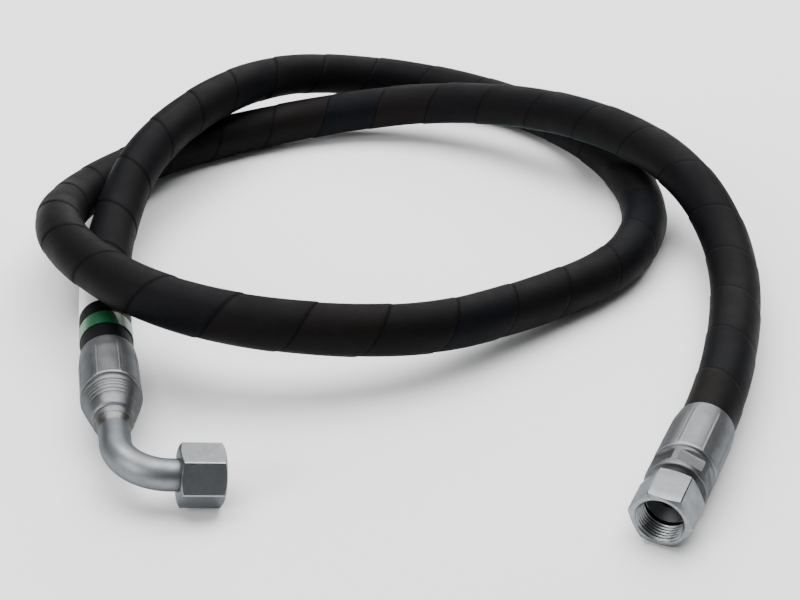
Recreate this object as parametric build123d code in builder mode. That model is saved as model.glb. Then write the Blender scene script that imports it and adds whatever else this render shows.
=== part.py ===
"""Hydraulic hose assembly: a coiled two-wire-braid hose with a 90 degree bent-tube swivel
fitting on one end and a straight swivel fitting on the other.  Millimetres, +Z up.
The origin is on the floor, under the middle of the two end fittings."""

import os
from math import pi, radians, sqrt, tan

from build123d import *

os.makedirs("parts", exist_ok=True)

# Hose: diameters of its layers, from the bore outwards
HOSE_BORE = 12.7
LINER_OD = 16.5
INNER_BRAID_OD = 17.9
PLY_OD = 18.5
OUTER_BRAID_OD = 19.9
HOSE_OD = 23.0
HOSE_IN_FERRULE = 27.0

# The hose's centreline, from the elbow's ferrule mouth to the straight fitting's
ROUTE = [
    (-123.4, 51.5, 16.3),
    (-134.1, 99.8, 15.0),
    (-140.6, 157.8, 17.5),
    (-130.1, 221.8, 36.0),
    (-81.1, 309.8, 36.5),
    (-11.1, 345.8, 20.0),
    (58.9, 331.8, 11.5),
    (111.9, 272.8, 11.5),
    (130.9, 196.8, 11.5),
    (111.9, 138.8, 11.5),
    (63.9, 99.8, 13.5),
    (1.9, 52.8, 26.0),
    (-95.1, 48.8, 40.5),
    (-162.1, 117.8, 40.0),
    (-161.1, 208.8, 16.0),
    (-123.1, 264.8, 11.5),
    (-38.1, 306.8, 13.0),
    (31.9, 299.8, 24.0),
    (96.9, 255.8, 36.5),
    (144.9, 198.8, 35.5),
    (162.9, 136.8, 16.0),
    (141.9, 44.1, 13.6),
    (124.3, 7.2, 13.2),
]
ARC_SHARE = 0.45

# What is wrapped round the hose near the elbow, measured from the ferrule's mouth
BAND_START = 10.0
BAND_END = 21.0
BAND_THICK = 0.15
LABEL_START = 30.0
LABEL_END = 60.0
LABEL_THICK = 0.12

# Crimped ferrule
FERRULE_LENGTH = 30.0
FERRULE_OD = 25.5
FERRULE_WALL_BORE = 16.0

# Stem: the nipple inside the hose and the flow bore
NIPPLE_START = 3.0
FLOW_BORE = 9.5

# Straight stem behind its ferrule
COLLAR_START = 30.6
COLLAR_END = 42.6
COLLAR_OD = 25.0
COLLAR_FLATS = 22.7
COLLAR_TURN = -17.5
COLLAR_FLATS_LENGTH = 7.0
NECK_OD = 16.4
STRAIGHT_NUT_BACK = 45.4

# Elbow: the nut's axis crosses the hose's axis this far from the ferrule's mouth
ELBOW_REACH = 83.0
ELBOW_BEND = 20.0
ELBOW_NUT_BACK = 22.7
ELBOW_NUT_AXIS = (0.96, 0.22, -0.18)
TUBE_OD = 12.7
TUBE_SOCKET = 36.0
HEAD_OD = 16.9
HEAD_LENGTH = 4.6

# Swivel nut, 3/4-16 UNF
NUT_FLATS = 22.2
NUT_LENGTH = 17.5
THREAD_BORE = 17.4
THREAD_LENGTH = 9.1
THREAD_ENTRY = 0.9
RELIEF_BORE = 19.4
RELIEF_LENGTH = 1.8
SEAT_DEPTH = 10.4
SEAT_ANGLE = 37.0
SEAT_RIM = 16.0
SWIVEL_GAP = 0.25
WIRE_DIAMETER = 1.4
WIRE_PLACE = -NUT_LENGTH + 2.4
STRAIGHT_NUT_TURN = -1.8


def corner_radii(points):
    """Each corner's radius: a share of the shorter run over the tangent of half the turn."""
    radii = []
    for before, here, after in zip(points, points[1:], points[2:]):
        run_in = Vector(*here) - Vector(*before)
        run_out = Vector(*after) - Vector(*here)
        shorter = min(run_in.length, run_out.length)
        half_turn = radians(run_in.get_angle(run_out)) / 2
        radii.append(ARC_SHARE * shorter / tan(half_turn))
    return radii


# Axes of the two fittings: each runs from the ferrule's mouth away from the hose
elbow_axis = (Vector(*ROUTE[0]) - Vector(*ROUTE[1])).normalized()
straight_axis = (Vector(*ROUTE[-1]) - Vector(*ROUTE[-2])).normalized()
nut_direction = Vector(*ELBOW_NUT_AXIS)
nut_direction = (nut_direction - elbow_axis * nut_direction.dot(elbow_axis)).normalized()

elbow_plane = Plane(origin=ROUTE[0], x_dir=nut_direction, z_dir=elbow_axis)
straight_across = straight_axis.cross(Vector(0, 0, 1)).normalized()
straight_plane = Plane(origin=ROUTE[-1], x_dir=straight_across, z_dir=straight_axis)

# The hose's line: the route, with both ends carried on into their ferrules
hose_points = [Vector(*point) for point in ROUTE]
hose_points[0] = hose_points[0] + elbow_axis * HOSE_IN_FERRULE
hose_points[-1] = hose_points[-1] + straight_axis * HOSE_IN_FERRULE
hose_radii = corner_radii([tuple(point) for point in hose_points])

with BuildLine() as hose_line:
    FilletPolyline(*hose_points, radius=hose_radii)

hose_path = hose_line.wire()
hose_length = hose_path.length


def layer(inner_diameter, outer_diameter, path):
    """A round tube wall carried along a line."""
    with BuildPart() as wall:
        with BuildSketch(Plane(path @ 0, z_dir=path % 0)):
            Circle(outer_diameter / 2)
            Circle(inner_diameter / 2, mode=Mode.SUBTRACT)
        sweep(path=path, transition=Transition.ROUND)
    return wall


def write(name, built):
    """Label the piece, write it and print its volume."""
    built.part.label = name
    export_step(built.part, f"parts/{name}.step")
    print(f"{name}: {built.part.volume / 1000:.2f} cm3")


def stretch(start, end):
    """The part of the hose's line between two distances from the elbow's ferrule mouth."""
    first = (HOSE_IN_FERRULE + start) / hose_length
    last = (HOSE_IN_FERRULE + end) / hose_length
    return hose_path.trim(first, last)


# Hose, from the bore outwards
hose_inner_tube = layer(HOSE_BORE, LINER_OD, hose_path)
inner_wire_braid = layer(LINER_OD, INNER_BRAID_OD, hose_path)
braid_insulation = layer(INNER_BRAID_OD, PLY_OD, hose_path)
outer_wire_braid = layer(PLY_OD, OUTER_BRAID_OD, hose_path)
hose_cover = layer(OUTER_BRAID_OD, HOSE_OD, hose_path)

# Wrapped round the cover
green_band = layer(HOSE_OD, HOSE_OD + 2 * BAND_THICK, stretch(BAND_START, BAND_END))
identification_label = layer(HOSE_OD, HOSE_OD + 2 * LABEL_THICK, stretch(LABEL_START, LABEL_END))


def profile_plane(plane):
    """The plane that holds a fitting's half section: u is the radius, v runs along the axis."""
    return Plane(origin=plane.origin, x_dir=plane.x_dir, z_dir=-plane.y_dir)


def revolved(plane, outline):
    """A turned piece: its half section, as (radius, distance from the mouth), spun round."""
    with BuildPart() as turned:
        with BuildSketch(profile_plane(plane)):
            with BuildLine():
                Polyline(*outline, close=True)
            make_face()
        revolve(axis=Axis(plane.origin, plane.z_dir))
    return turned


def ferrule_outline():
    """Half section of a crimped shell: a thin lip, the swaged body and the end wall."""
    hose_radius = HOSE_OD / 2
    body_radius = FERRULE_OD / 2
    return [
        (hose_radius, 0),
        (hose_radius + 0.3, 0),
        (hose_radius + 0.8, 2.0),
        (body_radius, 5.5),
        (body_radius, FERRULE_LENGTH - 1.2),
        (body_radius - 1.2, FERRULE_LENGTH),
        (FERRULE_WALL_BORE / 2, FERRULE_LENGTH),
        (FERRULE_WALL_BORE / 2, HOSE_IN_FERRULE),
        (hose_radius, HOSE_IN_FERRULE),
    ]


# Elbow end
elbow_ferrule = revolved(elbow_plane, ferrule_outline())

elbow_nipple = revolved(
    elbow_plane,
    [
        (FLOW_BORE / 2, NIPPLE_START),
        (HOSE_BORE / 2, NIPPLE_START),
        (HOSE_BORE / 2, HOSE_IN_FERRULE),
        (FERRULE_WALL_BORE / 2, HOSE_IN_FERRULE),
        (FERRULE_WALL_BORE / 2, FERRULE_LENGTH),
        (12.0, FERRULE_LENGTH),
        (12.6, FERRULE_LENGTH + 0.6),
        (12.5, 33.5),
        (11.7, 36.5),
        (10.4, 41.3),
        (8.8, 46.0),
        (8.2, 48.5),
        (7.6, 51.0),
        (TUBE_OD / 2, 51.0),
        (TUBE_OD / 2, TUBE_SOCKET),
        (FLOW_BORE / 2, TUBE_SOCKET),
    ],
)

elbow_braze_ring = revolved(
    elbow_plane,
    [(TUBE_OD / 2, 51.0), (7.4, 51.0), (6.8, 52.6), (TUBE_OD / 2, 54.5)],
)

# The nut's own plane: origin at its mouth, Z pointing out of it, flats facing up and down
elbow_corner = elbow_plane.origin + elbow_axis * ELBOW_REACH
nut_across = nut_direction.cross(Vector(0, 0, 1)).normalized()
elbow_nut_plane = Plane(
    origin=elbow_corner + nut_direction * (ELBOW_NUT_BACK + NUT_LENGTH),
    x_dir=nut_across,
    z_dir=nut_direction,
)
straight_nut_plane = Plane(
    origin=straight_plane.origin + straight_axis * (STRAIGHT_NUT_BACK + NUT_LENGTH),
    x_dir=straight_across.rotate(Axis((0, 0, 0), straight_axis), STRAIGHT_NUT_TURN),
    z_dir=straight_axis,
)

seat_run = (SEAT_RIM - FLOW_BORE) / 2 / tan(radians(SEAT_ANGLE))

with BuildLine() as elbow_line:
    FilletPolyline(
        elbow_plane.origin + elbow_axis * TUBE_SOCKET,
        elbow_corner,
        elbow_nut_plane.origin - nut_direction * (SEAT_DEPTH + HEAD_LENGTH),
        radius=ELBOW_BEND,
    )

with BuildPart() as elbow_tube:
    with BuildSketch(Plane(elbow_line.wire() @ 0, z_dir=elbow_axis)):
        Circle(TUBE_OD / 2)
        Circle(FLOW_BORE / 2, mode=Mode.SUBTRACT)
    sweep(path=elbow_line.wire())
    with BuildSketch(profile_plane(elbow_nut_plane)):
        with BuildLine():
            Polyline(
                (FLOW_BORE / 2, -SEAT_DEPTH - HEAD_LENGTH),
                (HEAD_OD / 2 - 0.6, -SEAT_DEPTH - HEAD_LENGTH),
                (HEAD_OD / 2, -SEAT_DEPTH - HEAD_LENGTH + 0.6),
                (HEAD_OD / 2, -SEAT_DEPTH - 0.3),
                (SEAT_RIM / 2, -SEAT_DEPTH),
                (FLOW_BORE / 2, -SEAT_DEPTH - seat_run),
                close=True,
            )
        make_face()
    revolve(axis=Axis(elbow_nut_plane.origin, nut_direction))


def swivel_nut(plane, behind_head, wire_radius):
    """A hexagon nut: chamfered corners, threaded mouth, relief, then what holds it on the stem."""
    corner = NUT_FLATS / sqrt(3)
    thread_end = -THREAD_ENTRY - THREAD_LENGTH
    relief_end = thread_end - RELIEF_LENGTH
    head_bore = behind_head[0][0]
    outside = [
        (0, 0),
        (NUT_FLATS / 2 - 0.5, 0),
        (corner + 0.1, -1.1),
        (corner + 0.1, -NUT_LENGTH + 1.0),
        (NUT_FLATS / 2 - 0.3, -NUT_LENGTH),
        (0, -NUT_LENGTH),
    ]
    inside = [
        (0, 0),
        (THREAD_BORE / 2 + THREAD_ENTRY, 0),
        (THREAD_BORE / 2, -THREAD_ENTRY),
        (THREAD_BORE / 2, thread_end),
        (RELIEF_BORE / 2, thread_end - 0.3),
        (RELIEF_BORE / 2, relief_end),
        (head_bore, relief_end - 0.3),
        *behind_head,
        (behind_head[-1][0], -NUT_LENGTH),
        (0, -NUT_LENGTH),
    ]
    with BuildPart() as nut:
        with BuildSketch(plane.offset(-NUT_LENGTH)):
            RegularPolygon(NUT_FLATS / 2, 6, major_radius=False)
        extrude(amount=NUT_LENGTH)
        for outline, mode in ((outside, Mode.INTERSECT), (inside, Mode.SUBTRACT)):
            with BuildSketch(profile_plane(plane)):
                with BuildLine():
                    Polyline(*outline, close=True)
                make_face()
            revolve(axis=Axis(plane.origin, plane.z_dir), mode=mode)
        if wire_radius:
            with BuildSketch(profile_plane(plane)):
                with Locations((wire_radius, WIRE_PLACE)):
                    Circle(WIRE_DIAMETER / 2 + SWIVEL_GAP)
            revolve(axis=Axis(plane.origin, plane.z_dir), mode=Mode.SUBTRACT)
    return nut


head_back = -SEAT_DEPTH - HEAD_LENGTH - 0.2
head_room = HEAD_OD / 2 + SWIVEL_GAP
tube_room = TUBE_OD / 2 + SWIVEL_GAP
elbow_swivel_nut = swivel_nut(
    elbow_nut_plane, [(head_room, head_back), (tube_room, head_back)], None
)

# Straight end
wire_radius = NECK_OD / 2 + SWIVEL_GAP / 2
nut_mouth = STRAIGHT_NUT_BACK + NUT_LENGTH

straight_ferrule = revolved(straight_plane, ferrule_outline())

with BuildPart() as straight_stem:
    with BuildSketch(profile_plane(straight_plane)):
        with BuildLine():
            Polyline(
                (FLOW_BORE / 2, nut_mouth - SEAT_DEPTH - seat_run),
                (FLOW_BORE / 2, NIPPLE_START),
                (HOSE_BORE / 2, NIPPLE_START),
                (HOSE_BORE / 2, HOSE_IN_FERRULE),
                (FERRULE_WALL_BORE / 2, HOSE_IN_FERRULE),
                (FERRULE_WALL_BORE / 2, FERRULE_LENGTH),
                (11.4, FERRULE_LENGTH),
                (11.4, COLLAR_START),
                (COLLAR_OD / 2 - 0.8, COLLAR_START),
                (COLLAR_OD / 2, COLLAR_START + 0.8),
                (COLLAR_OD / 2, COLLAR_END - 0.6),
                (COLLAR_OD / 2 - 0.6, COLLAR_END),
            )
            ThreePointArc((COLLAR_OD / 2 - 0.6, COLLAR_END), (9.5, 43.4), (NECK_OD / 2, 45.2))
            Polyline(
                (NECK_OD / 2, 45.2),
                (NECK_OD / 2, nut_mouth - SEAT_DEPTH - 0.3),
                (SEAT_RIM / 2, nut_mouth - SEAT_DEPTH),
                (FLOW_BORE / 2, nut_mouth - SEAT_DEPTH - seat_run),
            )
        make_face()
    revolve(axis=Axis(straight_plane.origin, straight_axis))
    flats_middle = (COLLAR_START + COLLAR_END) / 2
    with BuildSketch(straight_plane.offset(flats_middle - COLLAR_FLATS_LENGTH / 2)):
        Circle(COLLAR_OD)
        RegularPolygon(
            COLLAR_FLATS / 2, 6, major_radius=False, rotation=COLLAR_TURN, mode=Mode.SUBTRACT
        )
    extrude(amount=COLLAR_FLATS_LENGTH, mode=Mode.SUBTRACT)
    with BuildSketch(profile_plane(straight_plane)):
        with Locations((wire_radius, nut_mouth + WIRE_PLACE)):
            Circle(WIRE_DIAMETER / 2)
    revolve(axis=Axis(straight_plane.origin, straight_axis), mode=Mode.SUBTRACT)

with BuildPart() as straight_thrust_wire:
    with BuildSketch(profile_plane(straight_plane)):
        with Locations((wire_radius, nut_mouth + WIRE_PLACE)):
            Circle(WIRE_DIAMETER / 2)
    revolve(axis=Axis(straight_plane.origin, straight_axis))

neck_room = NECK_OD / 2 + SWIVEL_GAP
straight_swivel_nut = swivel_nut(straight_nut_plane, [(neck_room, head_back)], wire_radius)

write("hose_inner_tube", hose_inner_tube)
write("inner_wire_braid", inner_wire_braid)
write("braid_insulation", braid_insulation)
write("outer_wire_braid", outer_wire_braid)
write("hose_cover", hose_cover)
write("green_band", green_band)
write("identification_label", identification_label)
write("elbow_ferrule", elbow_ferrule)
write("elbow_nipple", elbow_nipple)
write("elbow_braze_ring", elbow_braze_ring)
write("elbow_tube", elbow_tube)
write("elbow_swivel_nut", elbow_swivel_nut)
write("straight_ferrule", straight_ferrule)
write("straight_stem", straight_stem)
write("straight_thrust_wire", straight_thrust_wire)
write("straight_swivel_nut", straight_swivel_nut)

print("corner radii:", [round(radius) for radius in hose_radii])
print("hose length between the ferrules:", round(hose_length - 2 * HOSE_IN_FERRULE, 1))
cover_section = pi * (HOSE_OD**2 - OUTER_BRAID_OD**2) / 4
cover_ratio = hose_cover.part.volume / (cover_section * hose_length)
print("cover volume over section times length:", round(cover_ratio, 5))
print("elbow nut mouth and axis:", elbow_nut_plane.origin, elbow_nut_plane.z_dir)
print("straight nut mouth and axis:", straight_nut_plane.origin, straight_nut_plane.z_dir)
print("elbow mouth:", elbow_plane.origin, "straight mouth:", straight_plane.origin)
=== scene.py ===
"""A hydraulic hose assembly: a wrapped two-wire-braid hose in loose coils, with a bent-tube swivel
fitting crimped on one end and a straight swivel fitting on the other.  Metres, +Z up."""

from math import pi, radians

import bpy
import numpy as np
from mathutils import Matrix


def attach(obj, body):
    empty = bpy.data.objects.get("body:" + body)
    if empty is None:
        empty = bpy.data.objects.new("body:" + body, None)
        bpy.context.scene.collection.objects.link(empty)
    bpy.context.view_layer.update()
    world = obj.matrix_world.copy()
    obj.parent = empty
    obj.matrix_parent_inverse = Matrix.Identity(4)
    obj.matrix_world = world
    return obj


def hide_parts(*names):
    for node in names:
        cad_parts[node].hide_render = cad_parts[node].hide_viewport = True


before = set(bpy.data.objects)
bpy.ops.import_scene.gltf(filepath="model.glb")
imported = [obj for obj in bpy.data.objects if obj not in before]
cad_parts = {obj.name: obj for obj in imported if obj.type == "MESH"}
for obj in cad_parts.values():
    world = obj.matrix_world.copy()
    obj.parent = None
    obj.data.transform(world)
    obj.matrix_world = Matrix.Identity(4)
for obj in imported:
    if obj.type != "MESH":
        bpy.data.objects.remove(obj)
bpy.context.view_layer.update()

MM = 0.001


# ---------------------------------------------------------------- the hose's line
# A two-wire-braid hose is stiff, so it lies in wide loops and climbs over itself in long humps.
# Both ends are clamped straight for the 27 mm that they sit inside their crimped ferrules.

ROUTE = [
    (-0.1234, 0.0515, 0.0163),
    (-0.1341, 0.0998, 0.0150),
    (-0.1406, 0.1578, 0.0175),
    (-0.1301, 0.2218, 0.0360),
    (-0.0811, 0.3098, 0.0365),
    (-0.0111, 0.3458, 0.0200),
    (0.0589, 0.3318, 0.0115),
    (0.1119, 0.2728, 0.0115),
    (0.1309, 0.1968, 0.0115),
    (0.1119, 0.1388, 0.0115),
    (0.0639, 0.0998, 0.0135),
    (0.0019, 0.0528, 0.0260),
    (-0.0951, 0.0488, 0.0405),
    (-0.1621, 0.1178, 0.0400),
    (-0.1611, 0.2088, 0.0160),
    (-0.1231, 0.2648, 0.0115),
    (-0.0381, 0.3068, 0.0130),
    (0.0319, 0.2998, 0.0240),
    (0.0969, 0.2558, 0.0365),
    (0.1449, 0.1988, 0.0355),
    (0.1629, 0.1368, 0.0160),
    (0.1419, 0.0441, 0.0136),
    (0.1243, 0.0072, 0.0132),
]
POINTS_PER_SPAN = 66
HOSE_IN_FERRULE = 27 * MM
FERRULE_POINTS = 12
HOSE_OD = 23.0 * MM
SHARP_EDGE = 35


def unit(vector):
    """A vector, or each row of an array of them, divided by its own length."""
    vector = np.asarray(vector, float)
    return vector / np.linalg.norm(vector, axis=-1, keepdims=True)


def route_line(points):
    """The points of an order-3 NURBS spline with these control points.  It starts on the first
    and ends on the last."""
    curve = bpy.data.curves.new("hose_route", "CURVE")
    curve.dimensions = "3D"
    curve.resolution_u = POINTS_PER_SPAN
    spline = curve.splines.new("NURBS")
    spline.points.add(len(points) - 1)
    spline.points.foreach_set("co", [number for point in points for number in (*point, 1.0)])
    spline.order_u = 3
    spline.use_endpoint_u = True
    holder = bpy.data.objects.new("hose_route", curve)
    bpy.context.scene.collection.objects.link(holder)
    mesh = bpy.data.meshes.new_from_object(holder)
    line = np.zeros(len(mesh.vertices) * 3)
    mesh.vertices.foreach_get("co", line)
    bpy.data.meshes.remove(mesh)
    bpy.data.objects.remove(holder)
    return line.reshape(-1, 3)


free_line = route_line(ROUTE)
elbow_mouth = np.array(ROUTE[0])
straight_mouth = np.array(ROUTE[-1])
elbow_axis = unit(elbow_mouth - np.array(ROUTE[1]))
straight_axis = unit(straight_mouth - np.array(ROUTE[-2]))
into_ferrule = np.linspace(1, 0.1, FERRULE_POINTS)[:, None] * HOSE_IN_FERRULE
hose_line = np.vstack(
    [
        elbow_mouth + into_ferrule * elbow_axis,
        free_line,
        straight_mouth + into_ferrule[::-1] * straight_axis,
    ]
)
steps = np.linalg.norm(np.diff(hose_line, axis=0), axis=1)
# How far each point lies along the hose from the elbow's ferrule mouth
hose_run = np.concatenate([[0], np.cumsum(steps)]) - HOSE_IN_FERRULE
# Across and above the line at each point: across is level, and above completes the square
hose_ahead = unit(np.gradient(hose_line, axis=0))
hose_across = unit(np.cross(hose_ahead, [0.0, 0.0, 1.0]))
hose_above = np.cross(hose_across, hose_ahead)


def round_hose(rows, angles, radius):
    """Points round the hose's line at the given rows: each is the line's point plus the radius
    times (sin(angle) across, minus cos(angle) above), so angle 0 is the underside."""
    outward = (
        np.sin(angles)[None, :, None] * hose_across[rows][:, None]
        - np.cos(angles)[None, :, None] * hose_above[rows][:, None]
    )
    return hose_line[rows][:, None] + radius[..., None] * outward


def lay_surface(name, points, u, v, inside_out=False, sharp=SHARP_EDGE):
    """A mesh from a grid of points, closed round its columns and from its last row to its first.
    The UV map holds u at each column's edge and v at each row's edge.  Edges that turn by more
    than the sharp angle, in degrees, are left unsmoothed."""
    rows, columns = points.shape[:2]
    row = np.arange(rows)[:, None]
    column = np.arange(columns)[None, :]
    corners = [(0, 0), (1, 0), (1, 1), (0, 1)]
    if inside_out:
        corners.reverse()
    quads = np.stack(
        [(row + a) % rows * columns + (column + b) % columns for a, b in corners], axis=-1
    )
    u_there = np.stack([u[column + b] + 0 * row for a, b in corners], axis=-1)
    v_there = np.stack([v[row + a] + 0 * column for a, b in corners], axis=-1)
    mesh = bpy.data.meshes.new(name)
    mesh.vertices.add(rows * columns)
    mesh.vertices.foreach_set("co", points.reshape(-1))
    mesh.loops.add(quads.size)
    mesh.loops.foreach_set("vertex_index", quads.reshape(-1))
    mesh.polygons.add(quads.size // 4)
    mesh.polygons.foreach_set("loop_start", np.arange(0, quads.size, 4))
    mesh.update(calc_edges=True)
    mesh.uv_layers.new(name="UVMap")
    both = np.stack([u_there.reshape(-1), v_there.reshape(-1)], axis=-1)
    mesh.uv_layers["UVMap"].data.foreach_set("uv", both.reshape(-1))
    mesh.polygons.foreach_set("use_smooth", np.ones(quads.size // 4, bool))
    mesh.set_sharp_from_angle(angle=radians(sharp))
    mesh.validate()
    piece = bpy.data.objects.new(name, mesh)
    bpy.context.scene.collection.objects.link(piece)
    return piece


class Number:
    """A node socket that carries a number: arithmetic on it adds Math nodes."""

    def __init__(self, tree, socket):
        self.tree = tree
        self.socket = socket

    def math(self, operation, *values):
        node = self.tree.nodes.new("ShaderNodeMath")
        node.operation = operation
        for place, value in zip(node.inputs, values):
            if isinstance(value, Number):
                self.tree.links.new(value.socket, place)
            else:
                place.default_value = value
        return Number(self.tree, node.outputs[0])

    def __add__(self, other):
        return self.math("ADD", self, other)

    def __radd__(self, other):
        return self.math("ADD", other, self)

    def __sub__(self, other):
        return self.math("SUBTRACT", self, other)

    def __rsub__(self, other):
        return self.math("SUBTRACT", other, self)

    def __mul__(self, other):
        return self.math("MULTIPLY", self, other)

    def __rmul__(self, other):
        return self.math("MULTIPLY", other, self)

    def __abs__(self):
        return self.math("ABSOLUTE", self)

    def fraction(self):
        return self.math("FRACT", self)

    def floor(self):
        return self.math("FLOOR", self)

    def sine(self):
        return self.math("SINE", self)

    def below(self, limit):
        return self.math("LESS_THAN", self, limit)

    def at_most(self, limit):
        return self.math("MINIMUM", self, limit)


class Finish:
    """A material whose nodes are added one at a time and feed its Principled shader."""

    def __init__(self, name, constants):
        self.material = bpy.data.materials.new(name)
        self.material.use_nodes = True
        self.tree = self.material.node_tree
        self.shader = self.tree.nodes["Principled BSDF"]
        for socket, value in constants.items():
            self.shader.inputs[socket].default_value = value

    def node(self, kind, settings, inputs, output=0):
        """Adds a node: its settings are set first, then its sockets get values or links."""
        node = self.tree.nodes.new(kind)
        for setting, value in settings.items():
            setattr(node, setting, value)
        for socket, value in inputs.items():
            self.put(value, node.inputs[socket])
        return node.outputs[output]

    def put(self, value, socket):
        """Links a socket to another, or sets its own value."""
        if isinstance(value, Number):
            value = value.socket
        if isinstance(value, bpy.types.NodeSocket):
            self.tree.links.new(value, socket)
        else:
            socket.default_value = value

    def number(self, kind, settings, inputs, output=0):
        """Adds a node whose output is a number."""
        return Number(self.tree, self.node(kind, settings, inputs, output))

    def uv(self):
        """The piece's own UV map, as two numbers."""
        both = self.node("ShaderNodeUVMap", {"uv_map": "UVMap"}, {})
        u = self.number("ShaderNodeSeparateXYZ", {}, {"Vector": both}, 0)
        v = self.number("ShaderNodeSeparateXYZ", {}, {"Vector": both}, 1)
        return u, v

    def place(self, x, y, z=0.0):
        """A vector from three numbers."""
        return self.node("ShaderNodeCombineXYZ", {}, {"X": x, "Y": y, "Z": z})

    def place_round(self, u, radius, along):
        """A place on a cylinder, so that a pattern has no seam where u comes back to 0."""
        angle = u * (2 * pi)
        return self.place((angle + pi / 2).sine() * radius, angle.sine() * radius, along)

    def place_on_piece(self):
        """Where a point is in the object's own frame."""
        return self.node("ShaderNodeTexCoord", {}, {}, 3)

    def noise(self, where, scale, detail=3.0, roughness=0.5):
        """Smooth random values about 0.5."""
        inputs = {"Vector": where, "Scale": scale, "Detail": detail, "Roughness": roughness}
        return self.number("ShaderNodeTexNoise", {}, inputs)

    def mix(self, share, first, second):
        """One colour turning into another."""
        inputs = {0: share, 6: first, 7: second}
        return self.node("ShaderNodeMix", {"data_type": "RGBA"}, inputs, 2)

    def range(self, value, low, high, new_low, new_high):
        """A number's span from low to high, stretched over another and clamped to it."""
        names = ("Value", "From Min", "From Max", "To Min", "To Max")
        inputs = dict(zip(names, (value, low, high, new_low, new_high)))
        return self.number("ShaderNodeMapRange", {"clamp": True}, inputs)

    def feed(self, socket, value):
        """Sets or links one of the shader's own sockets."""
        self.put(value, self.shader.inputs[socket])

    def bump(self, height, distance):
        """Roughens the surface by a height, which is this distance in metres for a height of 1."""
        inputs = {"Height": height, "Distance": distance, "Strength": 1.0}
        self.feed("Normal", self.node("ShaderNodeBump", {}, inputs))


# ---------------------------------------------------------------- hose, inside the cover
# From the bore outwards: an extruded rubber liner, a braid of brass-coated steel wire, a thin
# rubber ply, a second braid the other way round.  They are built up on a mandrel and cured as one.

# Each layer's material, bore and outside diameter
LAYERS = [
    ("hose_inner_tube", "liner_rubber", 12.7 * MM, 16.5 * MM),
    ("inner_wire_braid", "braid_wire", 16.5 * MM, 17.9 * MM),
    ("braid_insulation", "liner_rubber", 17.9 * MM, 18.5 * MM),
    ("outer_wire_braid", "braid_wire", 18.5 * MM, 19.9 * MM),
]
LAYER_ROW_STEP = 4
LAYER_COLUMNS = 32
PATTERNS_PER_METRE = 20
CARRIERS = 12
WIRES_PER_CARRIER = 6


def hose_wall(name, inner_rows, outer_rows, angles, inner_radius, outer_radius, turns):
    """A tube wall on the hose's line: the outer radius along its rows, then the inner one back.
    Its v counts this many turns of a pattern per metre."""
    outer = round_hose(outer_rows, angles, outer_radius)
    inner = round_hose(inner_rows[::-1], angles, inner_radius)
    there = np.concatenate([outer_rows, inner_rows[::-1], outer_rows[:1]])
    u = np.arange(len(angles) + 1) / len(angles)
    return lay_surface(name, np.concatenate([outer, inner]), u, hose_run[there] * turns)


def liner_rubber():
    """Smooth black synthetic rubber with a faint mottle."""
    finish = Finish("liner_rubber", {"Specular IOR Level": 0.4})
    mottle = finish.noise(finish.place_on_piece(), 180.0, 4.0)
    dark, light = (0.010, 0.010, 0.011, 1), (0.020, 0.020, 0.022, 1)
    finish.feed("Base Color", finish.mix(mottle, dark, light))
    finish.feed("Roughness", finish.range(mottle, 0.3, 0.7, 0.45, 0.6))
    finish.bump(mottle, 0.02 * MM)
    return finish.material


def braid_wire():
    """Flat carriers of fine wire crossing over and under, at about 50 degrees to the hose, with a
    brass coat.  A carrier's wires are a triangle wave across it, and the two ways take turns on
    top in a checked pattern."""
    finish = Finish("braid_wire", {"Metallic": 1.0})
    u, v = finish.uv()
    one_way = (u * CARRIERS + v * CARRIERS).sine()
    left = ((u + v) * CARRIERS).fraction()
    right = ((u - v) * CARRIERS).fraction()
    over = ((u + v) * CARRIERS).floor() + ((u - v) * CARRIERS).floor()
    left_on_top = (over * 0.5).fraction().below(0.25)
    wires_left = abs((left * WIRES_PER_CARRIER).fraction() - 0.5)
    wires_right = abs((right * WIRES_PER_CARRIER).fraction() - 0.5)
    wires = wires_left * left_on_top + wires_right * (1 - left_on_top)
    patina = finish.noise(finish.place_on_piece(), 90.0) * 0.9 + one_way * 0.02
    brass, steel = (0.62, 0.50, 0.28, 1), (0.58, 0.57, 0.54, 1)
    finish.feed("Base Color", finish.mix(patina, brass, steel))
    finish.feed("Roughness", finish.range(wires, 0.0, 0.5, 0.28, 0.5))
    finish.bump(wires * -1, 0.15 * MM)
    return finish.material


layer_finishes = {"liner_rubber": liner_rubber(), "braid_wire": braid_wire()}
all_rows = np.arange(len(hose_line))
coarse_rows = np.unique(np.append(all_rows[::LAYER_ROW_STEP], all_rows[-1]))
layer_angles = np.arange(LAYER_COLUMNS) * 2 * pi / LAYER_COLUMNS
for layer_name, slot_name, bore, outside in LAYERS:
    wall = hose_wall(
        layer_name + "_laid",
        coarse_rows,
        coarse_rows,
        layer_angles,
        np.full((len(coarse_rows), 1), bore / 2),
        np.full((len(coarse_rows), 1), outside / 2),
        PATTERNS_PER_METRE,
    )
    wall.data.materials.append(layer_finishes[slot_name])
    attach(wall, "hose")
    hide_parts(layer_name)


# ---------------------------------------------------------------- hose cover
# Black oil-proof rubber, cured under a spiral wrap of wet nylon tape.  When the tape comes off it
# leaves its weave in the rubber and a low step along the edge of every turn.

WRAP_PITCH = 33.0 * MM
WRAP_STEP = 0.34 * MM
WRAP_NICK = 0.12 * MM
# Shares of a turn: how far the step takes to climb, and half the nick's width
CLIMB = 0.03
NICK_WIDTH = 0.02
COVER_COLUMNS = 60
COVER_BORE = 19.9 * MM
COVER_BORE_ROW_STEP = 8
# In millimetres: the way round the hose, and the weave's threads
HOSE_ROUND = 72.3
WEAVE_PITCH = 0.62
# The tape leans by 24.6 degrees: shares of the way round and the way along
TAPE_LEAN, TAPE_RISE = 0.909, 0.416
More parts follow.
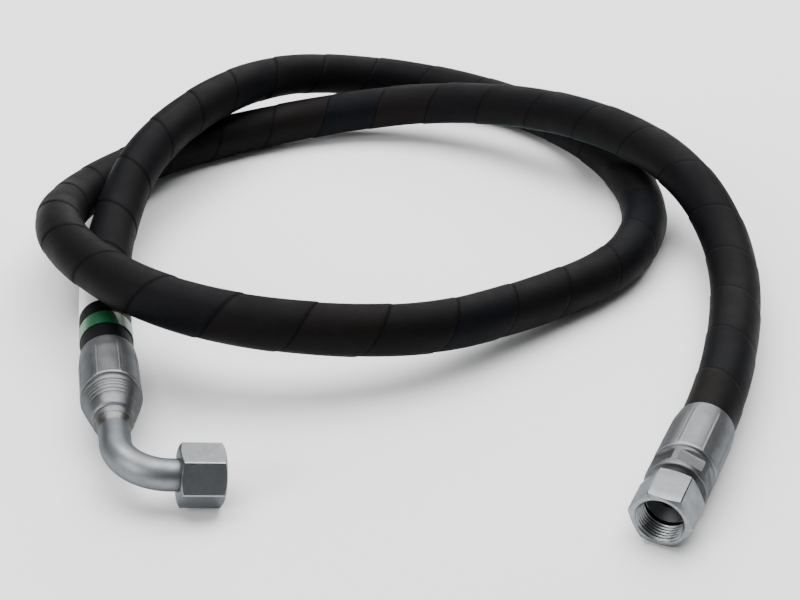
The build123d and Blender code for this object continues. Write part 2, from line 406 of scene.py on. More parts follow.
# Where the lay line starts round the hose, and how much it turns in each wrap
LAY_START = -0.107
LAY_TWIST = 0.0052

cover_angles = np.arange(COVER_COLUMNS) * 2 * pi / COVER_COLUMNS
wrap_turn = hose_run[:, None] / WRAP_PITCH - cover_angles[None, :] / (2 * pi)
wrap_share = wrap_turn - np.floor(wrap_turn)
edge_fade = np.clip(wrap_share / CLIMB, 0, 1)
from_edge = np.minimum(wrap_share, 1 - wrap_share)
# The radius falls evenly over each wrap and climbs back at its edge, where there is a fine nick
cover_radius = HOSE_OD / 2 - WRAP_STEP * np.where(wrap_share < CLIMB, 1 - edge_fade, wrap_share)
cover_radius = cover_radius - WRAP_NICK * np.exp(-((from_edge / NICK_WIDTH) ** 2))
inner_cover_rows = np.unique(np.append(all_rows[::COVER_BORE_ROW_STEP], all_rows[-1]))
cover = hose_wall(
    "wrapped_cover",
    inner_cover_rows,
    all_rows,
    cover_angles,
    np.full((len(inner_cover_rows), 1), COVER_BORE / 2),
    cover_radius,
    1 / WRAP_PITCH,
)


def cover_rubber():
    """Matte black rubber: tape weave, wrap edges with painted shade in their nicks, turns of
    slightly different black, dust, and a thin green lay line along one side."""
    finish = Finish("cover_rubber", {"Specular IOR Level": 0.06})
    u, v = finish.uv()
    turn = v - u
    share = turn.fraction()
    strip = turn.floor() + u
    edge = share.at_most(1 - share)
    nick = finish.range(edge, 0.0, 0.035, 1.0, 0.0)
    # Around and along in millimetres, turned to lie along the tape
    around, along = u * HOSE_ROUND, v * (WRAP_PITCH / MM)
    warp = (around * TAPE_LEAN + along * TAPE_RISE) * (2 * pi / WEAVE_PITCH)
    weft = (along * TAPE_LEAN - around * TAPE_RISE) * (2 * pi / WEAVE_PITCH)
    weave = warp.sine() * weft.sine()
    twill = ((warp + weft) * 0.25).sine()
    on_piece = finish.place_on_piece()
    mottle = finish.noise(on_piece, 55.0, 5.0, 0.6)
    grain = finish.noise(on_piece, 900.0, 2.0, 0.6)
    tint = finish.noise(finish.place(strip * 0.9, 3.0, 7.0), 1.3, 1.0)
    blue, brown = (0.0021, 0.0024, 0.0037, 1), (0.0043, 0.0035, 0.0032, 1)
    black = finish.mix(finish.range(tint, 0.35, 0.65, 0.0, 1.0), blue, brown)
    dust = finish.range(mottle, 0.52, 0.75, 0.0, 0.5)
    specks = finish.range(grain, 0.4, 0.7, 0.3, 1.0)
    dusty = finish.mix(dust * specks, black, (0.0115, 0.0115, 0.0125, 1))
    # The nick at each wrap edge is darkened in the base colour: painted shade in the groove.
    nick_painted_shade = finish.mix(nick * 0.75, dusty, (0.0004, 0.0004, 0.0004, 1))
    lay_line = (u - v * LAY_TWIST - LAY_START + 0.5).fraction() - 0.5
    lay_line = finish.range(abs(lay_line), 0.005, 0.009, 1.0, 0.0)
    worn = finish.range(mottle, 0.35, 0.5, 0.35, 1.0)
    finish.feed("Base Color", finish.mix(lay_line * worn, nick_painted_shade, (0.002, 0.060, 0.055, 1)))
    rough = finish.range(mottle, 0.3, 0.7, 0.50, 0.68) + weave * 0.02 + dust * 0.1 + nick * 0.2
    finish.feed("Roughness", rough)
    height = weave * 0.4 + twill * 0.35 + grain * 0.9 + mottle * 2.0 - nick * 1.6
    finish.bump(height, 0.035 * MM)
    return finish.material


cover.data.materials.append(cover_rubber())
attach(cover, "hose")
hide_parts("hose_cover")


# ---------------------------------------------------------------- tape band and label
# Green adhesive tape marks the hose, and behind it a plain white label is stuck round the cover.
# Each goes once round and meets itself, where its end shows as a fine step along the hose.

# Each one's slot, start and end along the hose, thickness, and where round the hose it overlaps
WRAPPED_ON = [
    ("green_band", "green_tape", 10.0 * MM, 21.0 * MM, 0.15 * MM, 0.80),
    ("identification_label", "white_label", 30.0 * MM, 60.0 * MM, 0.12 * MM, 0.3),
]
WRAP_COLUMNS = 73
TAPE_GAP = 0.02 * MM
TAPE_UNDER = 0.3 * MM
EDGE_PRESSED = 0.04 * MM
EDGE_FRAY = 0.02 * MM


def wrap_round(name, start, end, thick, overlap_at):
    """Tape wound once round the hose: its outside rises evenly, from 0.45 of its thickness to all
    of it, and drops back where it meets itself.  Its two edges are pressed down and wavy."""
    rows = np.flatnonzero((hose_run >= start) & (hose_run <= end))
    share = np.linspace(0, 1, WRAP_COLUMNS)
    angles = (share + overlap_at) * 2 * pi
    base = HOSE_OD / 2 + TAPE_GAP
    outer = base + thick * (0.45 + 0.55 * share)[None, :] + 0 * rows[:, None]
    fray = EDGE_FRAY * np.sin(angles * 7)[None, :]
    outer[:1] = outer[:1] - EDGE_PRESSED + fray
    outer[-1:] = outer[-1:] - EDGE_PRESSED - fray
    inner = np.full_like(outer, HOSE_OD / 2 - TAPE_UNDER)
    points = np.concatenate(
        [round_hose(rows, angles, outer), round_hose(rows[::-1], angles, inner)]
    )
    there = np.concatenate([rows, rows[::-1], rows[:1]])
    return lay_surface(name, points, np.append(share, 1.0), hose_run[there] * 100)


def tape_finish(name, color, painted_light_color, gloss):
    """Thin plastic film: an even colour with a second colour painted along its creases as painted
    light, finely creased.
    """
    finish = Finish(name, {"Specular IOR Level": 0.4, "Coat Roughness": 0.2})
    u, v = finish.uv()
    creases = finish.noise(finish.place(u * 9.0, v * 1.5), 6.0, 4.0, 0.6)
    scuffs = finish.noise(finish.place_on_piece(), 700.0, 3.0)
    # The second colour is painted light along creases and scuffs: a paler painted highlight on the
    # green tape, a grey painted shade on the white label.
    painted_light_mask = finish.range(creases, 0.45, 0.7, 0.0, 0.6) * finish.range(scuffs, 0.4, 0.6, 0.2, 1.0)
    finish.feed("Base Color", finish.mix(painted_light_mask, color, painted_light_color))
    finish.feed("Roughness", finish.range(creases, 0.3, 0.7, gloss, gloss + 0.2))
    finish.feed("Coat Weight", finish.range(scuffs, 0.3, 0.7, 0.25, 0.12))
    finish.bump(creases, 0.10 * MM)
    return finish.material


tape_finishes = {
    # Each tape's second colour is painted light: a painted highlight on the green tape, painted
    # grey shade on the white label.
    "green_tape": tape_finish("green_tape", (0.003, 0.060, 0.018, 1), (0.02, 0.16, 0.07, 1), 0.25),
    "white_label": tape_finish("white_label", (0.80, 0.81, 0.82, 1), (0.60, 0.62, 0.64, 1), 0.35),
}
for wrap_name, slot_name, start, end, thick, overlap_at in WRAPPED_ON:
    wrap = wrap_round(wrap_name + "_tape", start, end, thick, overlap_at)
    wrap.data.materials.append(tape_finishes[slot_name])
    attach(wrap, "hose")
    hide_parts(wrap_name)


# ---------------------------------------------------------------- crimped ferrules
# A steel shell swaged over the hose end by eight dies.  Each die leaves a smooth land, and metal
# squeezed between two dies stands up as a narrow rib with a fine line down each side.

DIES = 8
COLUMNS_PER_DIE = 30
RIB_HEIGHT = 0.13 * MM
LAND_FLATNESS = 0.16 * MM
LINE_DEPTH = 0.06 * MM
# Shares of a die's width: the rib's half width, and the fine line's place and width
RIB_WIDTH = 0.045
LINE_AT, LINE_WIDTH = 0.075, 0.018
# Where the crimp begins and ends along the shell, and how far it takes to fade at each end
CRIMP_START, CRIMP_IN = 2.5 * MM, 3 * MM
CRIMP_END, CRIMP_OUT = 29.4 * MM, 1.5 * MM
SHELL_OUTSIDE = 11.95 * MM
TURNED_SHARP = 28


class Place:
    """Where a turned piece stands: its origin, and three directions square to each other."""

    def __init__(self, origin, forward, across):
        self.origin = np.asarray(origin, float)
        self.forward = unit(forward)
        self.across = unit(across - self.forward * np.dot(across, self.forward))
        self.above = np.cross(self.forward, self.across)

    def spin(self, radius, along, angles):
        """Points at (radius cos(angle), radius sin(angle), along) in this place's directions."""
        shape = np.broadcast_shapes(radius.shape, along.shape, (1, len(angles)))
        radius, along = np.broadcast_to(radius, shape), np.broadcast_to(along, shape)
        return (
            self.origin
            + (radius * np.cos(angles))[..., None] * self.across
            + (radius * np.sin(angles))[..., None] * self.above
            + along[..., None] * self.forward
        )


UP = np.array([0.0, 0.0, 1.0])
ELBOW_NUT_AXIS = np.array([0.96, 0.22, -0.18])
elbow_turn = unit(ELBOW_NUT_AXIS - elbow_axis * np.dot(ELBOW_NUT_AXIS, elbow_axis))
elbow_end = Place(elbow_mouth, elbow_axis, elbow_turn)
straight_end = Place(straight_mouth, straight_axis, np.cross(straight_axis, UP))


def densify(outline, step):
    """A half section's points, (distance, radius) in millimetres, with more between them so that
    none are further apart than the step.  Its corners stay where they are."""
    outline = np.array(outline + outline[:1], float)
    pieces = []
    for near, far in zip(outline, outline[1:]):
        count = max(1, int(np.ceil(np.linalg.norm(far - near) / step)))
        pieces.append(near + (far - near) * np.linspace(0, 1, count, endpoint=False)[:, None])
    return np.concatenate(pieces) * MM


def running_length(section):
    """How far along its own outline each point of a closed half section lies, in centimetres."""
    closed = np.vstack([section, section[:1]])
    return np.concatenate([[0], np.cumsum(np.linalg.norm(np.diff(closed, axis=0), axis=1))]) * 100


FERRULE_SECTION = [
    (0.0, 11.5),
    (0.0, 11.75),
    (0.15, 11.9),
    (0.6, 11.98),
    (2.0, 12.08),
    (4.5, 12.38),
    (7.0, 12.64),
    (9.0, 12.75),
    (28.6, 12.75),
    (29.2, 12.68),
    (29.7, 12.4),
    (30.0, 11.9),
    (30.0, 8.0),
    (27.0, 8.0),
    (27.0, 11.5),
]


def crimped_ferrule(name, place, first_rib):
    """A shell whose outside, over the crimped length, is its radius less a little at the middle of
    each die's land, plus a narrow rib between lands."""
    section = densify(FERRULE_SECTION, 0.9)
    along, radius = section[:, :1], section[:, 1:]
    columns = DIES * COLUMNS_PER_DIE
    angles = np.arange(columns) * 2 * pi / columns
    die_share = (angles / (2 * pi) * DIES + first_rib) % 1
    from_rib = np.minimum(die_share, 1 - die_share)
    fine_line = np.exp(-(((from_rib - LINE_AT) / LINE_WIDTH) ** 2)) * LINE_DEPTH
    rib = np.exp(-((from_rib / RIB_WIDTH) ** 4)) * RIB_HEIGHT - fine_line
    land = -LAND_FLATNESS * (1 - (2 * die_share - 1) ** 2)
    crimp_in = np.clip((along - CRIMP_START) / CRIMP_IN, 0, 1)
    crimped = crimp_in * np.clip((CRIMP_END - along) / CRIMP_OUT, 0, 1)
    outside = radius > SHELL_OUTSIDE
    shaped = radius + np.where(outside, crimped * (rib + land)[None, :], 0)
    u = np.arange(columns + 1) / columns
    points = place.spin(shaped, along, angles)
    return lay_surface(
        name, points, u, running_length(section), inside_out=True, sharp=TURNED_SHARP
    )


# What plated steel reflects at a grazing angle, dulled by its grain
GRAZING = (0.45, 0.46, 0.48, 1)


def zinc_plate(name, color, roughness, around, along):
    """Bright zinc over turned or swaged steel.  Turning marks run round the piece and drawing
    marks run along it, each as deep as its number says.  The plating is finely grained, and its
    shine is uneven."""
    finish = Finish(name, {"Metallic": 1.0, "Specular Tint": GRAZING})
    u, v = finish.uv()
    on_piece = finish.place_on_piece()
    cloud = finish.noise(on_piece, 160.0, 4.0, 0.6)
    fine = finish.noise(on_piece, 2600.0, 2.0, 0.7)
    turned = finish.noise(finish.place_round(u, 0.32, v * 60.0), 6.0, 3.0, 0.7)
    drawn = finish.noise(finish.place_round(u, 23.9, v * 0.6), 1.6, 3.0, 0.7)
    dark = tuple(channel * 0.70 for channel in color[:3]) + (1,)
    streaks = cloud * 0.6 + drawn * min(along, 1.0) * 0.4 + turned * min(around, 1.0) * 0.4
    finish.feed("Base Color", finish.mix(finish.range(streaks, 0.35, 0.75, 0.0, 1.0), color, dark))
    shine = finish.range(cloud, 0.3, 0.7, roughness - 0.06, roughness + 0.08)
    finish.feed("Roughness", shine + fine * 0.06 + drawn * 0.05)
    finish.bump(turned * around + drawn * along + fine * 0.3 + cloud * 0.8, 0.02 * MM)
    return finish.material


ferrule_zinc = zinc_plate("ferrule_zinc", (0.225, 0.232, 0.238, 1), 0.36, around=0.3, along=3.2)
for end_name, place, first_rib in (
    ("elbow_ferrule", elbow_end, 0.30),
    ("straight_ferrule", straight_end, 0.62),
):
    ferrule = crimped_ferrule(end_name + "_shell", place, first_rib)
    ferrule.data.materials.append(ferrule_zinc)
    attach(ferrule, "hose")
    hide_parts(end_name)


# ---------------------------------------------------------------- elbow nipple and braze
# A turned steel insert: its plain tail is inside the hose, its collar shows behind the ferrule with
# a rounded ring, three fine rings and a taper.  The bent tube is furnace-brazed into it.

NIPPLE_SECTION = [
    (3.0, 4.75),
    (3.0, 6.1),
    (3.4, 6.35),
    (27.0, 6.35),
    (27.0, 8.0),
    (30.0, 8.0),
    (30.05, 11.5),
    (30.4, 11.6),
    (30.6, 12.25),
    (31.0, 12.55),
    (31.8, 12.65),
    (32.8, 12.6),
    (33.6, 12.3),
    (34.0, 12.0),
    (34.4, 12.1),
    (35.3, 12.0),
    (35.6, 11.8),
    (35.9, 11.85),
    (36.9, 11.6),
    (37.2, 11.38),
    (37.5, 11.4),
    (38.6, 11.1),
    (38.9, 10.87),
    (39.2, 10.9),
    (40.4, 10.6),
    (40.7, 10.38),
    (41.0, 10.4),
    (43.2, 9.85),
    (45.6, 8.95),
    (46.3, 8.6),
    (46.8, 8.05),
    (47.4, 8.0),
    (47.7, 8.3),
    (48.4, 8.4),
    (49.0, 8.15),
    (49.8, 7.75),
    (51.0, 7.5),
    (51.0, 6.35),
    (36.0, 6.35),
    (36.0, 4.75),
]
NIPPLE_COLUMNS = 128
TUBE_RADIUS = 6.35 * MM
BRAZE_SECTION = [(51.0, 6.3), (51.0, 7.4), (51.6, 7.15), (52.5, 6.8), (53.5, 6.5), (54.5, 6.3)]


def turned(name, place, section, columns, step=1.2, cut=None, sharp=TURNED_SHARP):
    """A half section spun round its place's forward direction.  A cut, if given, turns the radii
    into ones that also depend on the angle."""
    section = densify(section, step)
    angles = np.arange(columns) * 2 * pi / columns
    along = section[:, :1]
    radius = section[:, 1:] + 0 * angles[None, :]
    if cut is not None:
        radius = cut(along, radius, angles)
    u = np.arange(columns + 1) / columns
    points = place.spin(radius, along, angles)
    return lay_surface(name, points, u, running_length(section), inside_out=True, sharp=sharp)


def braze_metal():
    """A fillet of brazing alloy under the plating: a little yellower, flowed and pitted."""
    finish = Finish("braze_metal", {"Metallic": 1.0, "Specular Tint": GRAZING})
    on_piece = finish.place_on_piece()
    flow = finish.noise(on_piece, 500.0, 4.0, 0.6)
    pits = finish.noise(on_piece, 2600.0, 2.0)
    yellow, grey = (0.125, 0.12, 0.108, 1), (0.135, 0.135, 0.135, 1)
    finish.feed("Base Color", finish.mix(finish.range(flow, 0.4, 0.6, 0.0, 1.0), yellow, grey))
    finish.feed("Roughness", finish.range(pits, 0.3, 0.7, 0.28, 0.48))
    finish.bump(flow + pits * 0.3, 0.12 * MM)
    return finish.material


def flowed(along, radius, angles):
    """The braze stands a little higher here and there round the joint."""
    uneven = 0.04 * np.sin(3 * angles + 0.7) + 0.03 * np.sin(7 * angles)
    return radius + np.where(radius > TUBE_RADIUS, uneven * (radius - TUBE_RADIUS), 0)


turned_zinc = zinc_plate("turned_zinc", (0.155, 0.16, 0.163, 1), 0.36, around=1.6, along=0.1)
nipple = turned("elbow_nipple_turned", elbow_end, NIPPLE_SECTION, NIPPLE_COLUMNS)
nipple.data.materials.append(turned_zinc)
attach(nipple, "hose")
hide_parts("elbow_nipple")

braze = turned(
    "elbow_braze_fillet", elbow_end, BRAZE_SECTION, NIPPLE_COLUMNS, step=0.2, cut=flowed
)
braze.data.materials.append(braze_metal())
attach(braze, "hose")
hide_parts("elbow_braze_ring")


# ---------------------------------------------------------------- elbow tube
# Half-inch steel tube, bent through 90 degrees at a 20 mm radius and zinc plated.  Its end is
# pressed out into a shouldered head with a 37 degree cone inside, which the nut pulls on.

CORNER_AT = 83.0 * MM
BEND = 20.0 * MM
BEND_START = CORNER_AT - BEND
BEND_LENGTH = BEND * pi / 2
# A distance past the corner on the nut's axis is this much more along the tube
PAST_CORNER = 74.416
TUBE_COLUMNS = 112
OVALITY = 0.03
TUBE_SECTION = [
    (36.0, 4.75),
    (36.0, 6.35),
    (PAST_CORNER + 25.15, 6.35),
    (PAST_CORNER + 25.2, 7.9),
    (PAST_CORNER + 25.4, 8.3),
    (PAST_CORNER + 25.7, 8.45),
    (PAST_CORNER + 29.5, 8.45),
    (PAST_CORNER + 29.7, 8.3),
    (PAST_CORNER + 29.8, 8.0),
    (PAST_CORNER + 25.487, 4.75),
]


def along_tube(run):
    """The tube's centre line and the bend's inward side at each run: straight, then a quarter
    circle, then straight."""
    turn = np.clip((run - BEND_START) / BEND, 0, pi / 2)[:, None]
    ahead = np.cos(turn) * elbow_end.forward + np.sin(turn) * elbow_end.across
    inward = np.cos(turn) * elbow_end.across - np.sin(turn) * elbow_end.forward
    centre = elbow_end.origin + np.minimum(run, BEND_START)[:, None] * elbow_end.forward
    arc = np.sin(turn) * elbow_end.forward + (1 - np.cos(turn)) * elbow_end.across
    centre = centre + BEND * arc
    centre = centre + np.maximum(run - BEND_START - BEND_LENGTH, 0)[:, None] * ahead
    return centre, inward


def bent_tube(name, section, columns):
    """A half section spun round the tube's centre line, a little oval where it is bent."""
    section = densify(section, 0.8)
    run, radius = section[:, 0], section[:, 1]
    angles = np.arange(columns) * 2 * pi / columns
    centre, inward = along_tube(run)
    bend_share = np.clip((run - BEND_START) / BEND_LENGTH, 0, 1)
    oval = OVALITY * np.sin(bend_share * pi) ** 2
    flat = (radius * (1 - oval))[:, None] * np.cos(angles)
    wide = (radius * (1 + oval * 0.5))[:, None] * np.sin(angles)
    points = centre[:, None] + flat[..., None] * inward[:, None]
    points = points + wide[..., None] * elbow_end.above
    u = np.arange(columns + 1) / columns
    return lay_surface(
        name, points, u, running_length(section), inside_out=True, sharp=TURNED_SHARP
    )


tube_zinc = zinc_plate("tube_zinc", (0.205, 0.215, 0.225, 1), 0.38, around=0.2, along=2.2)
tube = bent_tube("elbow_tube_bent", TUBE_SECTION, TUBE_COLUMNS)
tube.data.materials.append(tube_zinc)
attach(tube, "hose")
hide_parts("elbow_tube")


# ---------------------------------------------------------------- straight stem
# One turned steel piece: the tail in the hose, a collar with six milled flats, a filleted neck and
# a 37 degree cone inside its end.

FLATS_MIDDLE = 36.6 * MM
FLATS_HALF = 2.6 * MM
FLATS_RUNOUT = 1.5 * MM
COLLAR_APOTHEM = 11.33 * MM
COLLAR_TURN = radians(-17.5)
RUNOUT_RISE = 1.4 * MM
STEM_COLUMNS = 288
STEM_SHARP = 18
fillet_turn = np.radians(np.linspace(0, 90, 10)[1:-1]).tolist()
COLLAR_FILLET = [
    (42.6 + 2.6 * (1 - float(np.cos(t))), 11.9 - 3.7 * float(np.sin(t))) for t in fillet_turn
]
WIRE_AT = 47.8
WIRE_RING = 8.325
WIRE_RADIUS = 0.7
groove_turn = np.radians(np.linspace(10, 170, 9)).tolist()
WIRE_GROOVE = [
    (WIRE_AT - WIRE_RADIUS * float(np.cos(t)), WIRE_RING - WIRE_RADIUS * float(np.sin(t)))
    for t in groove_turn
]
STEM_SECTION = [
    (3.0, 4.75),
    (3.0, 6.1),
    (3.4, 6.35),
    (27.0, 6.35),
    (27.0, 8.0),
    (30.0, 8.0),
    (30.05, 11.3),
    (30.6, 11.4),
    (30.65, 11.9),
    (31.0, 12.35),
    (31.4, 12.5),
    *((32.2 + 0.22 * step, 12.5) for step in range(9)),
    *((39.2 + 0.22 * step, 12.5) for step in range(9)),
    (41.9, 12.5),
    (42.4, 12.3),
    (42.6, 11.9),
    *COLLAR_FILLET,
    (45.2, 8.2),
    *WIRE_GROOVE,
    (52.1, 8.2),
    (52.4, 8.12),
    (52.5, 8.0),
    (48.187, 4.75),
]


def milled_flats(along, radius, angles):
    """Over the flats' length, the radius is no more than the flat's distance over the cosine of
    the angle from its middle.  Past each end the cutter's round edge leaves it rising squarely."""
    from_middle = (angles - COLLAR_TURN) % (pi / 3) - pi / 6
    flat = COLLAR_APOTHEM / np.cos(from_middle)[None, :]
    past_end = np.maximum(abs(along - FLATS_MIDDLE) - FLATS_HALF, 0) / FLATS_RUNOUT
    rising = RUNOUT_RISE * past_end**2
    milled = abs(along - FLATS_MIDDLE) < 2 * FLATS_HALF
    return np.where(milled, np.minimum(radius, flat + rising), radius)


stem = turned(
    "straight_stem_turned",
    straight_end,
    STEM_SECTION,
    STEM_COLUMNS,
    cut=milled_flats,
    sharp=STEM_SHARP,
)
stem.data.materials.append(turned_zinc)
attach(stem, "hose")
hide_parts("straight_stem")


# ---------------------------------------------------------------- thrust wire
# Hard-drawn spring wire, fed into the groove between stem and nut, which holds the nut on.


def spring_wire():
    """Drawn steel wire, oiled grey, with die lines along it."""
    finish = Finish("spring_wire", {"Metallic": 1.0})
    on_piece = finish.place_on_piece()
    grain = finish.noise(on_piece, 1200.0, 4.0, 0.6)
    dark, light = (0.26, 0.26, 0.27, 1), (0.45, 0.45, 0.46, 1)
    finish.feed("Base Color", finish.mix(grain, dark, light))
    finish.feed("Roughness", finish.range(grain, 0.3, 0.7, 0.25, 0.45))
    finish.bump(grain, 0.03 * MM)
    return finish.material


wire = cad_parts["straight_thrust_wire"]
wire.data.materials.clear()
wire.data.materials.append(spring_wire())


# ---------------------------------------------------------------- swivel nuts
# Cold-formed hexagon nuts, 22.2 mm across flats, chamfered both ends, threaded 3/4-16 inside.
# Each spins on its stem and is drawn up against the cone by the mating thread.

NUT_LENGTH = 17.5
NUT_APOTHEM = 11.1
CORNER_CAP = 12.64
CHAMFER_SLOPE = 0.475
THREAD_PITCH = 1.5875
THREAD_MINOR = 8.7
THREAD_MAJOR = 9.52
THREAD_END = 10.0
THREAD_MOUTH = 0.25
THREAD_ROWS = 101
RIM_BEVEL = 0.12
FRONT_FACE, BACK_FACE = 10.6, 10.8
NUT_COLUMNS = 288
NUT_SHARP = 20
# In centimetres of outline from the mouth's edge, as running_length gives it
OUTSIDE_ENDS = 1.9
ELBOW_NUT_BACK = 22.7
STRAIGHT_NUT_BACK = 45.4
STRAIGHT_NUT_TURN = radians(-1.8)
NUT_GROOVE_AT, NUT_GROOVE_RADIUS = 15.1, 0.95

nut_angles = np.arange(NUT_COLUMNS) * 2 * pi / NUT_COLUMNS
from_flat = nut_angles % (pi / 3) - pi / 6
hexagon = np.minimum(NUT_APOTHEM / np.cos(from_flat), CORNER_CAP)


def chamfered_outside():
    """Rows of (depth, radius) over the nut's outside.  Each chamfer is a cone, so it meets the
    hexagon deeper at the corners than at the middle of each flat, along a curve."""
    front_depth = (hexagon - FRONT_FACE) * CHAMFER_SLOPE
    back_depth = (hexagon - BACK_FACE) * CHAMFER_SLOPE
    still = np.ones(NUT_COLUMNS)
    rows = [(0 * still, radius * still) for radius in (9.75, 10.1, 10.5)]
    rows.append((RIM_BEVEL * 0.3 * still, (FRONT_FACE + 0.05) * still))
    for share in (0.1, 0.5, 0.9):
        rows.append((front_depth * share + 0.02, FRONT_FACE + (hexagon - FRONT_FACE) * share))
    for share in (0.0, 0.012, 0.25, 0.5, 0.75, 0.988, 1.0):
        depth = front_depth + 0.03 + (NUT_LENGTH - 0.06 - front_depth - back_depth) * share
        inset = 0.03 if share in (0.0, 1.0) else 0.0
        rows.append((depth, hexagon - inset))
    for share in (0.9, 0.5, 0.1):
        depth = NUT_LENGTH - back_depth * share - 0.02
        rows.append((depth, BACK_FACE + (hexagon - BACK_FACE) * share))
    rows.append((NUT_LENGTH * still, (BACK_FACE - 0.1) * still))
    return rows


def thread_rows():
    """Rows of (depth, radius) from the relief to the mouth.  The thread's radius depends on the
    turn, depth over pitch plus angle: a flat crest, a flank, a flat root and a flank.  It runs
    out at the relief and opens at the mouth along two cones."""
    depths = np.linspace(THREAD_END, THREAD_MOUTH, THREAD_ROWS)
    rows = []
    for depth in depths.tolist():
        turn = (depth / THREAD_PITCH + nut_angles / (2 * pi)) % 1
        rise = np.clip((abs(turn - 0.5) * 2 - 0.125) / 0.625, 0, 1)
        radius = THREAD_MAJOR - (THREAD_MAJOR - THREAD_MINOR) * rise
        entry = THREAD_MINOR + 0.9 - depth
        ending = THREAD_MINOR + 1.0 - (THREAD_END - depth) * 2
        rows.append((depth + 0 * radius, np.maximum(radius, max(entry, ending))))
    rows.append((0.08 + 0 * nut_angles, 9.55 + 0 * nut_angles))
    rows.append((0.0 * nut_angles, 9.63 + 0 * nut_angles))
    return rows


def swivel_nut(name, place, behind_head):
    """The outside's rows, then the stem's bore from the back, the relief and the thread."""
    rows = chamfered_outside()
    still = np.ones(NUT_COLUMNS)
    bore = densify(behind_head, 1.0)[:-1] / MM
    rows += [(depth * still, radius * still) for depth, radius in bore.tolist()]
    rows += thread_rows()
    depth = np.array([row[0] for row in rows]) * MM
    radius = np.array([row[1] for row in rows]) * MM
    points = place.spin(radius, -depth, nut_angles)
    section = np.column_stack([depth.mean(axis=1), radius.mean(axis=1)])
    u = np.arange(NUT_COLUMNS + 1) / NUT_COLUMNS
    return lay_surface(name, points, u, running_length(section), sharp=NUT_SHARP)


def zinc_nut():
    """Zinc over cold-formed steel: mottled flats, brighter rubbed corners, faint drawing marks."""
    finish = Finish("zinc_nut", {"Metallic": 1.0, "Specular Tint": GRAZING})
    u, v = finish.uv()
    on_piece = finish.place_on_piece()
    cloud = finish.noise(on_piece, 220.0, 5.0, 0.65)
    spots = finish.noise(on_piece, 1300.0, 3.0, 0.6)
    drawn = finish.noise(finish.place_round(u, 14.3, v * 1.5), 2.0, 3.0, 0.6)
    corner = abs((u * 6).fraction() - 0.5)
    # Only the outside has corners: v runs over it first, and then down the bore
    rubbed = finish.range(corner + cloud * 0.03, 0.47, 0.51, 0.0, 1.0) * v.below(OUTSIDE_ENDS)
    dull, bright = (0.20, 0.211, 0.22, 1), (0.26, 0.27, 0.277, 1)
    mottle = finish.range(cloud + spots * 0.4, 0.55, 0.85, 0.0, 1.0)
    brightness = finish.range(mottle + rubbed, 0.0, 1.0, 0.0, 1.0)
    finish.feed("Base Color", finish.mix(brightness, dull, bright))
    finish.feed("Roughness", finish.range(mottle, 0.0, 1.0, 0.38, 0.30) - rubbed * 0.10)
    finish.bump(cloud * 1.2 + spots * 0.5 + drawn * 0.6, 0.03 * MM)
    return finish.material


elbow_corner = elbow_mouth + CORNER_AT * elbow_axis
elbow_nut_place = Place(
    elbow_corner + (ELBOW_NUT_BACK + NUT_LENGTH) * MM * elbow_turn,
    elbow_turn,
    np.cross(elbow_turn, UP),
)
straight_nut_place = Place(
    straight_mouth + (STRAIGHT_NUT_BACK + NUT_LENGTH) * MM * straight_axis,
    straight_axis,
    straight_end.across * np.cos(STRAIGHT_NUT_TURN)
    + straight_end.above * np.sin(STRAIGHT_NUT_TURN),
)
# Half sections from the nut's back to its thread, as (depth behind the mouth, radius)
RELIEF = [(12.1, 8.9), (11.8, 9.7), (10.35, 9.7), (10.05, 9.6)]
ELBOW_BORE = [(NUT_LENGTH, 6.9), (17.2, 6.6), (15.2, 6.6), (15.2, 8.7), (12.1, 8.7), *RELIEF]
NUT_GROOVE = [
    (
        NUT_GROOVE_AT - NUT_GROOVE_RADIUS * float(np.cos(t)),
        WIRE_RING + NUT_GROOVE_RADIUS * float(np.sin(t)),
    )
    for t in np.radians(np.linspace(170, 10, 9)).tolist()
]
STRAIGHT_BORE = [(NUT_LENGTH, 8.75), (17.2, 8.45), *NUT_GROOVE, (12.1, 8.45), *RELIEF]
nut_finish = zinc_nut()
for nut_name, body, place, behind_head in (
    ("elbow_swivel_nut", "elbow_nut", elbow_nut_place, ELBOW_BORE),
    ("straight_swivel_nut", "straight_nut", straight_nut_place, STRAIGHT_BORE),
):
    nut = swivel_nut(nut_name + "_hex", place, behind_head)
    nut.data.materials.append(nut_finish)
    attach(nut, body)
    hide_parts(nut_name)


# ---------------------------------------------------------------- floor, light and camera
# A plain pale floor, one broad soft light overhead, a weaker one behind and another at the front
# left, and a dim room for the metal to reflect.

FLOOR_REACH = 6.0
ROOM_LIGHT = 0.16
CAMERA_AT = (0.0014, -0.4572, 0.366)
CAMERA_TILT = radians(57.8)
LENS = 64.96
SENSOR = 36.0


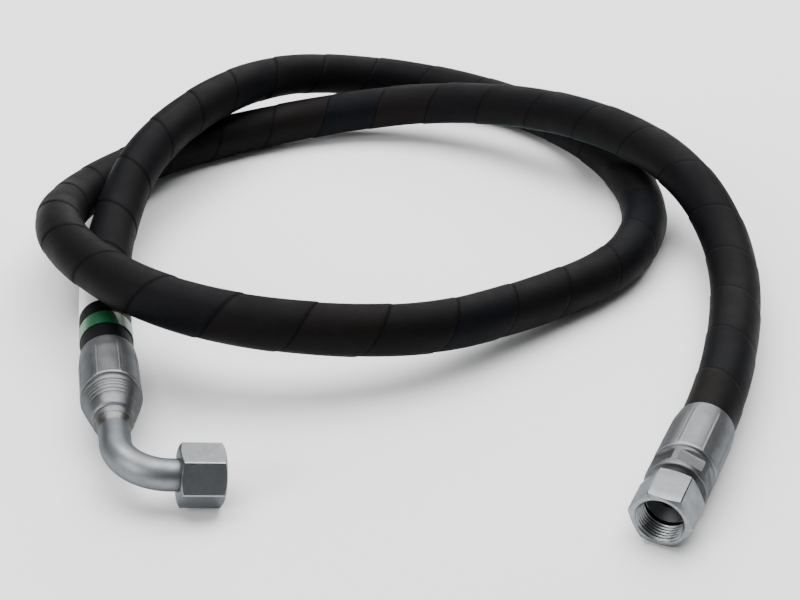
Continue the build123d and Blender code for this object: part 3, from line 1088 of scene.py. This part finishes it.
def flat_square(name, reach):
    """A level square at height 0, this far out from the origin on each side."""
    mesh = bpy.data.meshes.new(name)
    corners = [(-reach, -reach, 0), (reach, -reach, 0), (reach, reach, 0), (-reach, reach, 0)]
    mesh.from_pydata(corners, [], [(0, 1, 2, 3)])
    sheet = bpy.data.objects.new(name, mesh)
    bpy.context.scene.collection.objects.link(sheet)
    return sheet


floor = flat_square("floor", FLOOR_REACH)
floor_finish = Finish("floor_white", {"Specular IOR Level": 0.1})
paper = floor_finish.noise(floor_finish.place_on_piece(), 3.0)
floor_shades = (0.93, 0.93, 0.93, 1), (0.95, 0.95, 0.95, 1)
floor_finish.feed("Base Color", floor_finish.mix(paper, *floor_shades))
floor_finish.feed("Roughness", floor_finish.range(paper, 0.3, 0.7, 0.80, 0.84))
floor.data.materials.append(floor_finish.material)

world = bpy.data.worlds.new("studio")
world.use_nodes = True
background = world.node_tree.nodes["Background"]
background.inputs["Color"].default_value = (0.95, 0.97, 1.0, 1)
background.inputs["Strength"].default_value = ROOM_LIGHT
bpy.context.scene.world = world


def soft_light(name, place, aim, width, height, power):
    """A rectangular area light looking at a point."""
    light = bpy.data.lights.new(name, "AREA")
    light.shape = "RECTANGLE"
    light.size = width
    light.size_y = height
    light.energy = power
    lamp = bpy.data.objects.new(name, light)
    lamp.location = place
    towards = unit(np.array(aim) - np.array(place))
    lamp.rotation_euler = (
        float(np.arccos(-towards[2])),
        0.0,
        float(np.arctan2(-towards[0], towards[1])),
    )
    bpy.context.scene.collection.objects.link(lamp)


soft_light("overhead", (0.0, 0.5, 1.6), (0.0, 0.15, 0.0), 2.2, 1.6, 75.0)
soft_light("behind", (0.3, 1.6, 0.7), (0.0, 0.1, 0.0), 1.6, 0.6, 14.0)
soft_light("front_left", (-1.2, -0.9, 0.9), (0.0, 0.0, 0.0), 0.9, 0.9, 22.0)

camera_data = bpy.data.cameras.new("camera")
camera_data.lens = LENS
camera_data.sensor_width = SENSOR
camera = bpy.data.objects.new("camera", camera_data)
camera.location = CAMERA_AT
camera.rotation_euler = (CAMERA_TILT, 0.0, 0.0)
bpy.context.scene.collection.objects.link(camera)
bpy.context.scene.camera = camera
